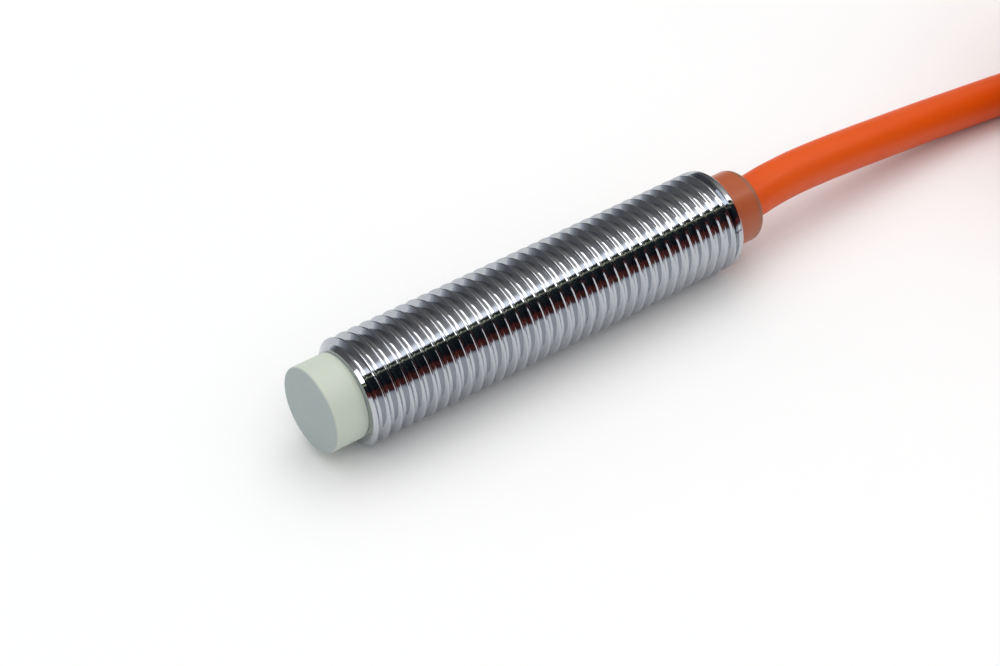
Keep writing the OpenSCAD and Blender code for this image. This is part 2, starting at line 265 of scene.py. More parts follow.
class Desk:
    """Puts nodes into a node tree and joins them."""

    def __init__(self, tree: bpy.types.NodeTree) -> None:
        """Takes the tree to work on."""
        self.tree = tree
        self.column = 0

    def add(self, kind: str, inputs: dict[str | int, Any] | None = None, **settings: Any) -> bpy.types.Node:
        """Adds a node.

        Args:
            kind: The node's type name.
            inputs: Values, or sockets to link from, for the node's inputs.
            settings: The node's own settings.

        Returns:
            The new node.
        """
        node = self.tree.nodes.new(kind)
        node.location = (self.column, 0)
        self.column += 190
        for name, value in settings.items():
            setattr(node, name, value)
        self.feed(node, inputs or {})
        return node

    def feed(self, node: bpy.types.Node, values: dict[str | int, Any]) -> None:
        """Sets a node's inputs, and links those whose value is a socket."""
        for name, value in values.items():
            if isinstance(value, Socket):
                self.tree.links.new(value, node.inputs[name])
            else:
                node.inputs[name].default_value = value

    def sum_of(self, a: Any, b: Any, operation: str = "ADD") -> Socket:
        """Joins two values with a math operation and returns the result's socket."""
        return self.add("ShaderNodeMath", {0: a, 1: b}, operation=operation).outputs[0]

    def spread(self, value: Any, low: Any, high: Any, to_low: Any, to_high: Any) -> Socket:
        """Maps a value's range onto another range and returns the result's socket."""
        inputs = {"Value": value, "From Min": low, "From Max": high, "To Min": to_low, "To Max": to_high}
        return self.add("ShaderNodeMapRange", inputs).outputs[0]

    def noise(self, place: Socket, scale: Any, detail: float, **more: Any) -> Socket:
        """Adds a noise texture and returns the socket of its value."""
        inputs = {"Vector": place, "Scale": scale, "Detail": detail, **more}
        return self.add("ShaderNodeTexNoise", inputs).outputs["Fac"]

    def blend(self, share: Any, first: Any, second: Any, **settings: Any) -> Socket:
        """Mixes two colours and returns the result's socket."""
        inputs = {MIX_FACTOR: share, MIX_FIRST: first, MIX_SECOND: second}
        return self.add("ShaderNodeMix", inputs, data_type="RGBA", **settings).outputs[MIX_RESULT]


def group_tree(
    name: str, inputs: Sequence[tuple[str, str, Any]], outputs: Sequence[tuple[str, str]]
) -> tuple[Desk, Any, bpy.types.Node]:
    """Starts a node group with named sockets, the first of which is the place on the surface.

    Args:
        name: Name of the group.
        inputs: Name, kind and default value of each further input.
        outputs: Name and kind of each output.

    Returns:
        A desk on the group's tree, what its inputs give and its output node.
    """
    tree = bpy.data.node_groups.new(name, "ShaderNodeTree")
    tree.interface.new_socket(name="Vector", in_out="INPUT", socket_type="NodeSocketVector")
    for label, kind, value in inputs:
        socket = tree.interface.new_socket(name=label, in_out="INPUT", socket_type="NodeSocket" + kind)
        socket.default_value = value
    for label, kind in outputs:
        tree.interface.new_socket(name=label, in_out="OUTPUT", socket_type="NodeSocket" + kind)
    desk = Desk(tree)
    return desk, desk.add("NodeGroupInput").outputs, desk.add("NodeGroupOutput")


@dataclass
class Effects:
    """The surface effects that several finishes share, each a node group."""

    made: dict[str, bpy.types.NodeTree] = field(default_factory=dict)

    def get(self, name: str) -> bpy.types.NodeTree:
        """Returns a group by name, and builds it the first time."""
        if name not in self.made:
            builders = {
                "Fine Grain": self.fine_grain,
                "Tone Drift": self.tone_drift,
                "Turning Marks": self.turning_marks,
                "Dust Specks": self.dust_specks,
            }
            self.made[name] = builders[name](name)
        return self.made[name]

    def fine_grain(self, name: str) -> bpy.types.NodeTree:
        """Builds the small unevenness of moulded and plated surfaces."""
        desk, given, out = group_tree(
            name,
            (("Scale", "Float", 3000.0), ("Low", "Float", 0.3), ("High", "Float", 0.5)),
            (("Height", "Float"), ("Roughness", "Float")),
        )
        fine = desk.noise(given["Vector"], given["Scale"], 4.0, Roughness=0.6)
        slow = desk.noise(given["Vector"], desk.sum_of(given["Scale"], 0.12, "MULTIPLY"), 3.0)
        both = desk.sum_of(desk.sum_of(fine, 0.35, "MULTIPLY"), desk.sum_of(slow, 0.65, "MULTIPLY"))
        rough = desk.spread(both, 0.35, 0.65, given["Low"], given["High"])
        desk.feed(out, {"Height": fine, "Roughness": rough})
        return desk.tree

    def tone_drift(self, name: str) -> bpy.types.NodeTree:
        """Builds the slow change between two close colours over a piece."""
        desk, given, out = group_tree(
            name,
            (("Scale", "Float", 200.0), ("First", "Color", WHITE), ("Second", "Color", (0, 0, 0, 1))),
            (("Colour", "Color"), ("Mask", "Float")),
        )
        cloud = desk.noise(given["Vector"], given["Scale"], 3.0, Distortion=0.4)
        mask = desk.spread(cloud, 0.32, 0.68, 0.0, 1.0)
        desk.feed(out, {"Colour": desk.blend(mask, given["First"], given["Second"]), "Mask": mask})
        return desk.tree

    def turning_marks(self, name: str) -> bpy.types.NodeTree:
        """Builds the fine rings that a lathe leaves round the sensor's axis."""
        desk, given, out = group_tree(name, (("Rings", "Float", 9000.0),), (("Height", "Float"),))
        inputs = {"Vector": given["Vector"], "Scale": given["Rings"]}
        inputs |= {"Distortion": 1.5, "Detail": 2.0, "Detail Scale": 0.6}
        wave = desk.add("ShaderNodeTexWave", inputs, wave_type="BANDS", bands_direction="Y")
        desk.feed(out, {"Height": wave.outputs["Fac"]})
        return desk.tree

    def dust_specks(self, name: str) -> bpy.types.NodeTree:
        """Builds sparse tiny specks, as dust and plating pips are."""
        sizes = (("Scale", "Float", 900.0), ("Amount", "Float", 0.06))
        desk, given, out = group_tree(name, sizes, (("Mask", "Float"),))
        inputs = {"Vector": given["Vector"], "Scale": given["Scale"], "Randomness": 1.0}
        cells = desk.add("ShaderNodeTexVoronoi", inputs)
        some = desk.noise(given["Vector"], 260.0, 2.0)
        near = desk.spread(cells.outputs["Distance"], given["Amount"], 0.0, 0.0, 1.0)
        here = desk.spread(some, 0.55, 0.6, 0.0, 1.0)
        desk.feed(out, {"Mask": desk.sum_of(near, here, "MULTIPLY")})
        return desk.tree


# ---------- finishes ----------


@dataclass
class Surface:
    """What a finish is built from: its desk, the shared effects and the place on the piece."""

    desk: Desk
    effects: Effects
    place: Socket

    def effect(self, name: str, **values: Any) -> bpy.types.NodeOutputs:
        """Lays a shared effect over the surface.

        Args:
            name: Name of the effect's group.
            values: Values of the group's inputs.

        Returns:
            What the group gives.
        """
        inputs = {"Vector": self.place, **values}
        return self.desk.add("ShaderNodeGroup", inputs, node_tree=self.effects.get(name)).outputs


@dataclass(frozen=True)
class Finish:
    """A finish with a slow colour drift, fine grain and a bump.

    Lengths are in metres and the grain's scale in cycles per metre.
    """

    name: str
    first: Colour
    second: Colour
    rough: tuple[float, float] = (0.35, 0.5)
    grain: float = 4000.0
    bump: float = 0.0015 * MM
    drift: float = 180.0
    metallic: float = 0.0
    ior: float = 1.5
    coat: float = 0.0
    coat_rough: float = 0.12
    scatter: float = 0.0
    scatter_depth: float = 0.6 * MM
    scatter_reach: Colour = (1.0, 0.7, 0.45)
    clear: float = 0.0
    glow: float = 0.0

    def build(self, effects: Effects) -> bpy.types.Material:
        """Makes the material.

        Args:
            effects: The shared effect groups.

        Returns:
            The new material.
        """
        material = bpy.data.materials.new(self.name)
        material.use_nodes = True
        desk = Desk(material.node_tree)
        surface = Surface(desk, effects, desk.add("ShaderNodeTexCoord").outputs["Object"])
        tones = {"First": (*self.first, 1), "Second": (*self.second, 1)}
        drift = surface.effect("Tone Drift", Scale=self.drift, **tones)["Colour"]
        grain = surface.effect("Fine Grain", Scale=self.grain, Low=self.rough[0], High=self.rough[1])
        height = self.relief(surface, grain["Height"])
        bump = desk.add("ShaderNodeBump", {"Height": height, "Strength": 1.0, "Distance": self.bump})
        shader = material.node_tree.nodes["Principled BSDF"]
        desk.feed(
            shader,
            {
                "Base Color": self.colour(surface, drift),
                "Roughness": grain["Roughness"],
                "Normal": bump.outputs["Normal"],
                "Metallic": self.metallic,
                "IOR": self.ior,
                "Coat Weight": self.coat,
                "Coat Roughness": self.coat_rough,
                "Subsurface Weight": self.scatter,
                "Subsurface Radius": self.scatter_reach,
                "Subsurface Scale": self.scatter_depth,
                "Transmission Weight": self.clear,
            },
        )
        if self.glow:
            desk.feed(shader, {"Emission Color": drift, "Emission Strength": self.glow})
        return material

    def relief(self, surface: Surface, grain: Socket) -> Socket:
        """Returns the height that the bump follows, which is the grain alone."""
        return grain

    def colour(self, surface: Surface, drift: Socket) -> Socket:
        """Returns the base colour's socket, which is the drift alone."""
        return drift


@dataclass(frozen=True)
class PlatedFinish(Finish):
    """Bright plating over turned metal, with lathe rings under it and a few specks on it."""

    rings: float = 7000.0
    ring_share: float = 0.4
    speck: Colour = (0.3, 0.3, 0.3)
    speck_scale: float = 1400.0

    def relief(self, surface: Surface, grain: Socket) -> Socket:
        """Adds the turning marks to the height of the grain."""
        marks = surface.effect("Turning Marks", Rings=self.rings)["Height"]
        return surface.desk.sum_of(surface.desk.sum_of(marks, self.ring_share, "MULTIPLY"), grain)

    def colour(self, surface: Surface, drift: Socket) -> Socket:
        """Lays the specks over the drifting colour."""
        specks = surface.effect("Dust Specks", Scale=self.speck_scale)["Mask"]
        return surface.desk.blend(specks, drift, (*self.speck, 1))


@dataclass(frozen=True)
class EndToneFinish(Finish):
    """A finish that turns to a duller, darker colour beyond a place along the sensor: on the cap this is
    painted shade on the front face, on the bushing a darker rear rim.

    A blend below 0 puts the duller colour in front of the place.
    """

    # The darker colour, where it begins along Y, how far it blends and how much of it shows; on the cap it is
    # painted shade.
    end_tone: Colour = (0.3, 0.13, 0.075)
    end_at: float = 19.35 * MM
    end_blend: float = 0.2 * MM
    end_share: float = 0.8

    def colour(self, surface: Surface, drift: Socket) -> Socket:
        """Lays the darker colour over the drifting one; on the cap it is painted shade."""
        along = surface.desk.add("ShaderNodeSeparateXYZ", {0: surface.place}).outputs["Y"]
        share = surface.desk.spread(along, self.end_at, self.end_at + self.end_blend, 0.0, self.end_share)
        return surface.desk.blend(share, drift, (*self.end_tone, 1))


FINISHES: dict[str, Finish] = {
    "chrome": PlatedFinish(
        "Bright Chrome", (0.47, 0.49, 0.53), (0.5, 0.52, 0.55), rough=(0.04, 0.08), metallic=1.0,
        bump=0.00025 * MM, drift=320.0,
    ),
    # The cap's front face, in front of -19.82 mm, takes a darker, cooler painted shade over its own pale
    # colour.
    "cap": EndToneFinish(
        "Pale Cap Plastic", (0.5, 0.545, 0.47), (0.53, 0.57, 0.49), rough=(0.42, 0.55), grain=9000.0,
        bump=0.004 * MM, scatter=0.2, end_tone=(0.3, 0.36, 0.37), end_at=-19.82 * MM, end_blend=-0.14 * MM,
    ),
    "bushing": EndToneFinish(
        "Amber Bushing Plastic", (0.47, 0.1, 0.026), (0.52, 0.12, 0.034), rough=(0.3, 0.42), grain=6000.0,
        scatter=0.5, scatter_depth=1.2 * MM, clear=0.25,
    ),
    "jacket": Finish(
        "Orange Cable Jacket", (0.68, 0.08, 0.0), (0.64, 0.072, 0.0), rough=(0.38, 0.5), ior=1.38,
        grain=5000.0, bump=0.002 * MM, scatter=0.1, drift=90.0,
    ),
    "tie": Finish(
        "Black Tie Plastic", (0.018, 0.018, 0.02), (0.03, 0.03, 0.032), rough=(0.4, 0.55), grain=6000.0,
        bump=0.004 * MM,
    ),
    "ferrite": Finish(
        "Sintered Ferrite", (0.03, 0.03, 0.032), (0.055, 0.052, 0.05), rough=(0.55, 0.75), grain=12000.0,
        bump=0.01 * MM,
    ),
    "bobbin": Finish("Ivory Bobbin Plastic", (0.78, 0.72, 0.58), (0.7, 0.64, 0.5), rough=(0.4, 0.5)),
    "copper": PlatedFinish(
        "Enamelled Copper", (0.55, 0.2, 0.09), (0.62, 0.26, 0.12), rough=(0.25, 0.35), metallic=1.0,
        coat=0.5, rings=14000.0, bump=0.01 * MM, speck=(0.2, 0.07, 0.03),
    ),
    "brass": PlatedFinish(
        "Brushed Brass", (0.6, 0.44, 0.16), (0.7, 0.52, 0.2), rough=(0.22, 0.35), metallic=1.0,
        speck=(0.3, 0.2, 0.07),
    ),
    "board": Finish(
        "Green Board Lacquer", (0.012, 0.09, 0.035), (0.02, 0.12, 0.045), rough=(0.2, 0.35), grain=9000.0,
        coat=0.3,
    ),
    "chip": Finish(
        "Black Chip Epoxy", (0.02, 0.02, 0.021), (0.032, 0.031, 0.031), rough=(0.5, 0.65), grain=16000.0,
        bump=0.005 * MM,
    ),
    "diode": Finish("Red Diode Glass", (0.4, 0.05, 0.02), (0.46, 0.09, 0.03), rough=(0.05, 0.1), coat=0.6),
    "ceramic": Finish(
        "Tan Capacitor Ceramic", (0.42, 0.28, 0.15), (0.5, 0.36, 0.2), rough=(0.35, 0.5), grain=12000.0,
        bump=0.003 * MM,
    ),
    "led": Finish(
        "Clear Diode Lens", (0.9, 0.55, 0.2), (0.95, 0.65, 0.3), rough=(0.1, 0.2), clear=0.4, glow=0.6,
    ),
    "solder": PlatedFinish(
        "Bright Solder", (0.6, 0.61, 0.62), (0.7, 0.7, 0.7), rough=(0.18, 0.32), metallic=1.0, grain=5000.0,
        bump=0.004 * MM,
    ),
    "resin": Finish(
        "Brown Potting Resin", (0.09, 0.055, 0.03), (0.13, 0.08, 0.045), rough=(0.25, 0.4), coat=0.2,
    ),
    "core_brown": Finish(
        "Brown Core Insulation", (0.17, 0.062, 0.026), (0.2, 0.075, 0.032), rough=(0.35, 0.48),
    ),
    "core_black": Finish(
        "Black Core Insulation", (0.014, 0.014, 0.015), (0.022, 0.022, 0.023), rough=(0.35, 0.48),
    ),
    "core_blue": Finish(
        "Blue Core Insulation", (0.012, 0.09, 0.42), (0.018, 0.11, 0.48), rough=(0.35, 0.48),
    ),
    "floor": Finish(
        "Pale Table Top", (0.82, 0.82, 0.82), (0.83, 0.83, 0.83), rough=(0.6, 0.7), grain=300.0, drift=6.0,
    ),
}


@dataclass
class Paintbox:
    """Makes each finish's material once and puts it on pieces."""

    effects: Effects = field(default_factory=Effects)
    made: dict[str, bpy.types.Material] = field(default_factory=dict)

    def material(self, key: str) -> bpy.types.Material:
        """Returns a finish's material, and builds it the first time."""
        if key not in self.made:
            self.made[key] = FINISHES[key].build(self.effects)
        return self.made[key]

    def dress(self, piece: Piece, key: str) -> None:
        """Puts a finish on a new piece."""
        piece.data.materials.clear()
        piece.data.materials.append(self.material(key))

    def repaint(self, node: str, key: str) -> None:
        """Puts a finish into every material slot of a carried-over node."""
        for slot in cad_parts[node].material_slots:
            slot.material = self.material(key)


def stand_in(piece: Piece, slot: str, *nodes: str) -> None:
    """Makes a finished piece ride on the sensor in the place of plain nodes.

    Args:
        piece: The finished piece.
        slot: Material slot of the record; not used.
        nodes: The nodes that the piece replaces.
    """
    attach(piece, "root")
    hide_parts(*nodes)


# ---------- sub-assemblies ----------


@dataclass
class ThreadedBarrel:
    """The plated barrel: a right-hand thread, a lead-in at the front and a plain ring at the rear."""

    pitch: float = 1.0 * MM
    depth: float = 0.54 * MM
    crest_flat: float = 0.12 * MM
    root_flat: float = 0.26 * MM
    crest_round: float = 0.06 * MM
    root_round: float = 0.22 * MM
    crest_at_side: float = 0.24 * MM
    lead_in: float = 0.2 * MM
    ring: float = 0.6 * MM
    ring_edge: float = 0.3 * MM
    bore: float = 2.947 * MM
    bore_edge: float = 0.05 * MM
    front_face: float = 0.15 * MM
    lead_in_reach: float = 0.5
    ring_gap: float = 0.12
    ring_reach: float = 0.3
    early_turns: float = 1.5
    spare_turns: int = 3
    steps: int = 96

    def profile(self, radius: float) -> Outline:
        """Returns one pitch of the thread, from one root to the next."""
        half = self.pitch / 2
        low, top = self.root_flat / 2, half - self.crest_flat / 2
        root = radius - self.depth
        side = [
            (root, 0.0, 0.0),
            (root, low, self.root_round),
            (radius, top, self.crest_round),
            (radius, half, 0.0),
        ]
        rise = fillet(side, 4)
        fall = [(r, self.pitch - y) for r, y in reversed(rise[:-1])]
        return rise + fall

    def build(self) -> Piece:
        """Models the barrel.

        Returns:
            The barrel, in object mode.
        """
        low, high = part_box("threaded_barrel")
        radius, front, rear, height = (high.x - low.x) / 2, low.y, high.y, (high.z + low.z) / 2
        skin = self.thread_skin(radius, height, front, rear)
        shell = self.plain_shell(radius, height, front, rear)
        select_only(skin, shell)
        bpy.ops.object.join()
        edit(skin)
        seams = ((front, self.lead_in * self.lead_in_reach), (rear - self.ring, self.pitch * self.ring_reach))
        for place, reach in seams:
            pick_border(skin, place, reach)
            bpy.ops.mesh.bridge_edge_loops()
        weld(skin)
        close_edit()
        smooth(skin)
        return skin

    def thread_skin(self, radius: float, height: float, front: float, rear: float) -> Piece:
        """Winds the thread's profile along the barrel and cuts both ends square.

        Args:
            radius: Radius of the crests.
            height: Height of the axis.
            front: Place of the barrel's front end along Y.
            rear: Place of its rear end.

        Returns:
            The open skin of the thread, in object mode.
        """
        start = front + self.crest_at_side - self.early_turns * self.pitch
        skin = trace("barrel_thread", [(r, start + y, 0) for r, y in self.profile(radius)])
        close_edit()
        screw = skin.modifiers.new("thread", "SCREW")
        screw.axis = "Y"
        screw.steps = screw.render_steps = self.steps
        screw.screw_offset = self.pitch
        screw.iterations = round((rear - front) / self.pitch) + self.spare_turns
        screw.use_merge_vertices = True
        screw.merge_threshold = 0.001 * MM
        apply_modifiers(skin)
        edit(skin)
        bpy.ops.mesh.select_all(action="SELECT")
        bpy.ops.transform.translate(value=(0, 0, height))
        weld(skin)
        cut = front + self.lead_in
        ring_cut = rear - self.ring - self.ring_gap * self.pitch
        for place, side in ((cut, "clear_inner"), (ring_cut, "clear_outer")):
            bpy.ops.mesh.select_all(action="SELECT")
            bpy.ops.mesh.bisect(plane_co=(0, place, 0), plane_no=(0, 1, 0), threshold=CUT_GAP, **{side: True})
        pick_border(skin, cut, 0.01 * MM)
        bpy.ops.mesh.extrude_region_move(TRANSFORM_OT_translate={"value": (0, -self.lead_in, 0)})
        taper = 1 - self.lead_in / radius
        bpy.ops.transform.resize(value=(taper, 1, taper), center_override=(0, front, height))
        close_edit()
        return skin

    def plain_shell(self, radius: float, height: float, front: float, rear: float) -> Piece:
        """Turns the plain ring, the rear face, the bore and the front face.

        Args:
            radius: Outer radius of the ring.
            height: Height of the axis.
            front: Place of the barrel's front end along Y.
            rear: Place of its rear end.

        Returns:
            The open shell, in object mode.
        """
        corners = (
            (radius, rear - self.ring, 0),
            (radius, rear, self.ring_edge),
            (self.bore, rear, self.bore_edge),
            (self.bore, front, self.bore_edge),
            (self.bore + self.front_face, front, 0),
        )
        return lathe("barrel_shell", corners, height, self.steps)


@dataclass
class SensingCap:
    """The moulded cap over the coil, with a soft front edge and a blind bore behind it."""

    front_wall: float = 0.6 * MM
    skirt_wall: float = 0.45 * MM
    edge: float = 0.2 * MM
    shoulder_edge: float = 0.04 * MM
    back_edge: float = 0.1 * MM
    inner_edge: float = 0.15 * MM
    exposed: float = 2.7 * MM
    radius: float = 3.247 * MM
    bore: float = 2.947 * MM
    steps: int = 96

    def build(self) -> Piece:
        """Models the cap.

        Returns:
            The cap, in object mode.
        """
        front, back, height = span("sensing_cap")
        shoulder = front + self.exposed
        cup = self.bore - self.skirt_wall
        corners = (
            (0, front, 0),
            (self.radius, front, self.edge),
            (self.radius, shoulder, self.shoulder_edge),
            (self.bore, shoulder, 0),
            (self.bore, back, self.back_edge),
            (cup, back, self.back_edge),
            (cup, front + self.front_wall, self.inner_edge),
            (0, front + self.front_wall, 0),
        )
        cap = lathe("cap_moulding", corners, height, self.steps)
        smooth(cap)
        return cap


@dataclass
class EndBushing:
    """The translucent bushing moulded round the cable at the rear of the barrel."""

    bore: float = 2.947 * MM
    radius: float = 2.9 * MM
    edge: float = 0.4 * MM
    exposed: float = 3.1 * MM
    cable: float = 1.75 * MM
    lip: float = 0.12 * MM
    lip_depth: float = 0.15 * MM
    lip_edge: float = 0.1 * MM
    front_edge: float = 0.15 * MM
    shoulder_edge: float = 0.05 * MM
    ring_radius: float = 2.1 * MM
    steps: int = 80

    def build(self) -> Piece:
        """Models the bushing.

        Returns:
            The bushing, in object mode.
        """
        front, rear, height = span("end_bushing")
        ring_front, ring_rear, _ = span("strain_relief_ring")
        shoulder = rear - self.exposed
        corners = (
            (self.cable, front, 0),
            (self.bore, front, self.front_edge),
            (self.bore, shoulder, self.shoulder_edge),
            (self.radius, shoulder, self.shoulder_edge),
            (self.radius, rear, self.edge),
            (self.cable + self.lip, rear, self.lip_edge),
            (self.cable, rear - self.lip_depth, 0),
            (self.cable, ring_rear, 0),
            (self.ring_radius, ring_rear, 0),
            (self.ring_radius, ring_front, 0),
            (self.cable, ring_front, 0),
            (self.cable, front, 0),
        )
        bushing = lathe("bushing_moulding", corners, height, self.steps)
        smooth(bushing)
        return bushing


@dataclass
class Cable:
    """The cable: its loose lead, the hank that holds the rest of it and the tail to its end.

    Lengths are in millimetres, apart from the whole length, which is in metres.
    """

    diameter: float = 3.5
    length: float = 2.0
    loop_r: float = 11.5
    turn_gap: float = 3.65
    layer_gap: float = 3.55
    layers: int = 5
    near_y: float = 65.0
    run: float = 66.5
    waist: float = 6.0
    hump: float = 0.9
    hump_flat: float = 3.0
    hump_reach: float = 14.0
    middle_x: float = 14.25
    tail_y: float = 62.0
    end_y: float = 57.0
    sides: int = 20
    drop: float = 0.5
    arc_steps: int = 8
    run_steps: int = 8
    lead: tuple[Point, ...] = (
        (0, 20, 4),
        (-0.18, 21.5, 4.06),
        (-0.34, 23, 4.1),
        (-0.48, 25, 4.08),
        (-0.57, 27, 3.99),
        (-0.63, 29.5, 3.81),
        (-0.7, 32, 3.56),
        (-0.79, 35, 3.21),
        (-0.87, 38, 2.86),
        (-0.92, 41, 2.52),
        (-0.9, 44, 2.22),
        (-0.76, 47.5, 1.95),
        (-0.48, 51, 1.8),
        (-0.08, 54, 1.75),
        (0.57, 57, 1.75),
        (1.5, 60, 1.75),
        (2.3, 62.6, 1.75),
    )

    def level(self, layer: float) -> float:
        """Returns the height of a layer's line above the surface, in millimetres."""
        return self.diameter / 2 + layer * self.layer_gap

    def run_points(self, side: int, radius: float, start: float, end: float) -> list[Point]:
        """Lays one straight run of the hank.

        Args:
            side: -1 for the left side, which goes along +Y, or 1 for the right, which comes back.
            radius: Radius of the loops at the run's ends.
            start: Layer at the run's beginning.
            end: Layer at the run's end.

        Returns:
            Points from the beginning of the run up to, but not with, its end.
        """
        points = []
        for i in range(self.run_steps):
            t = i / self.run_steps
            along = (t - 0.5) * self.run * -side
            wide = radius - self.waist * (1 - soft_step(abs(along) / (self.run / 2)))
            lift = self.hump * (1 - soft_step((abs(along) - self.hump_flat) / self.hump_reach))
            layer = start + (end - start) * soft_step(t / self.drop)
            y = self.near_y + self.run / 2 + along
            points.append((self.middle_x + side * wide, y, self.level(layer) + lift))
        return points

    def arc_points(self, far: bool, start_r: float, end_r: float, start: float, end: float) -> list[Point]:
        """Lays one loop of the hank.

        Args:
            far: True for the loop at the far end, False for the near one.
            start_r: Radius at the loop's beginning.
            end_r: Radius at its end.
            start: Layer at the loop's beginning.
            end: Layer at its end.

        Returns:
            Points from the beginning of the loop up to, but not with, its end.
        """
        points = []
        for i in range(self.arc_steps):
            t = i / self.arc_steps
            angle = math.pi * (1 - t) if far else -math.pi * t
            r = start_r + (end_r - start_r) * soft_step(t)
            y = self.near_y + (self.run if far else 0)
            height = self.level(start + (end - start) * soft_step(t))
            points.append((self.middle_x + r * math.cos(angle), y + r * math.sin(angle), height))
        return points

    def route(self) -> list[Point]:
        """Returns the cable's line from the bushing to its cut end, in metres."""
        inner, outer = self.loop_r, self.loop_r + self.turn_gap
        top = self.layers - 1
        points = list(self.lead)
        for layer in range(top):
            points += self.run_points(-1, inner, layer, layer)
            points += self.arc_points(True, inner, inner, layer, layer)
            points += self.run_points(1, inner, layer, layer)
            points += self.arc_points(False, inner, inner, layer, layer + 1)
        points += self.run_points(-1, inner, top, top)
        points += self.arc_points(True, inner, outer, top, top)
        for layer in range(top, 0, -1):
            points += self.run_points(1, outer, layer, layer)
            points += self.arc_points(False, outer, outer, layer, layer)
            points += self.run_points(-1, outer, layer, layer - 1)
            points += self.arc_points(True, outer, outer, layer - 1, layer - 1)
        points += self.run_points(1, outer, 0, 0)
        points += [(self.middle_x + outer, y, self.level(0)) for y in (self.near_y, self.tail_y, self.end_y)]
        return metres(points)

    def build(self) -> Piece:
        """Models the cable.

        Returns:
            The cable's curve.
        """
        return curve_tube("cable_run", self.route(), self.diameter / 2 * MM, self.sides)


@dataclass
class FreeCore:
    """One insulated core beyond the jacket's end, with its twisted and tinned strands.

    Lengths are in millimetres.
    """

    core: Core
    number: int
    route: tuple[Point, ...]
    radius: float = 0.475
    strand_r: float = 0.25
    strip: float = 5.0
    lobes: int = 7
    lobe_points: int = 3
    valley: float = 0.8
    tip: float = 0.82
    rings: int = 10
    twist: float = 26.0
    sides: int = 16

    def build(self) -> tuple[Piece, Piece]:
        """Models the core's insulation and its bare strands.

        Returns:
            The insulation and the strands.
        """
        points = metres(self.route)
        sleeve = curve_tube(f"core_sleeve_{self.core.value}", points, self.radius * MM, self.sides)
        return sleeve, self.strands(Vector(points[-1]))

    def strands(self, start: Vector) -> Piece:
        """Twists the bare strands out of a lobed outline, along -Y.

        Args:
            start: Where the insulation ends.

        Returns:
            The strands, in object mode.
        """
        clear_selection()
        bpy.ops.mesh.primitive_circle_add(
            vertices=self.lobe_points * self.lobes,
            radius=self.strand_r * MM,
            fill_type="NGON",
            location=start,
            rotation=(math.pi / 2, 0, 0),
        )
        obj = bpy.context.object
        obj.name = obj.data.name = f"tinned_strands_{self.number}"
        bpy.ops.object.transform_apply(location=True, rotation=True, scale=True)
        edit(obj)
        mesh = bmesh.from_edit_mesh(obj.data)
        mesh.verts.ensure_lookup_table()
        bpy.ops.mesh.select_mode(type="VERT")
        bpy.ops.mesh.select_all(action="DESELECT")
        for vert in mesh.verts:
            vert.select_set(vert.index % self.lobe_points == 0)
        bmesh.update_edit_mesh(obj.data)
        bpy.ops.transform.resize(value=(self.valley, 1, self.valley), center_override=start)
        bpy.ops.mesh.select_all(action="SELECT")
        step = Vector((0, -self.strip * MM / self.rings, 0))
        for _ in range(self.rings):
            start = start + step
            bpy.ops.mesh.extrude_region_move(TRANSFORM_OT_translate={"value": step})
            bpy.ops.transform.rotate(value=math.radians(self.twist), orient_axis="Y", center_override=start)
        bpy.ops.transform.resize(value=(self.tip, 1, self.tip), center_override=start)
        weld(obj)
        close_edit()
        smooth(obj, 60)
        return obj


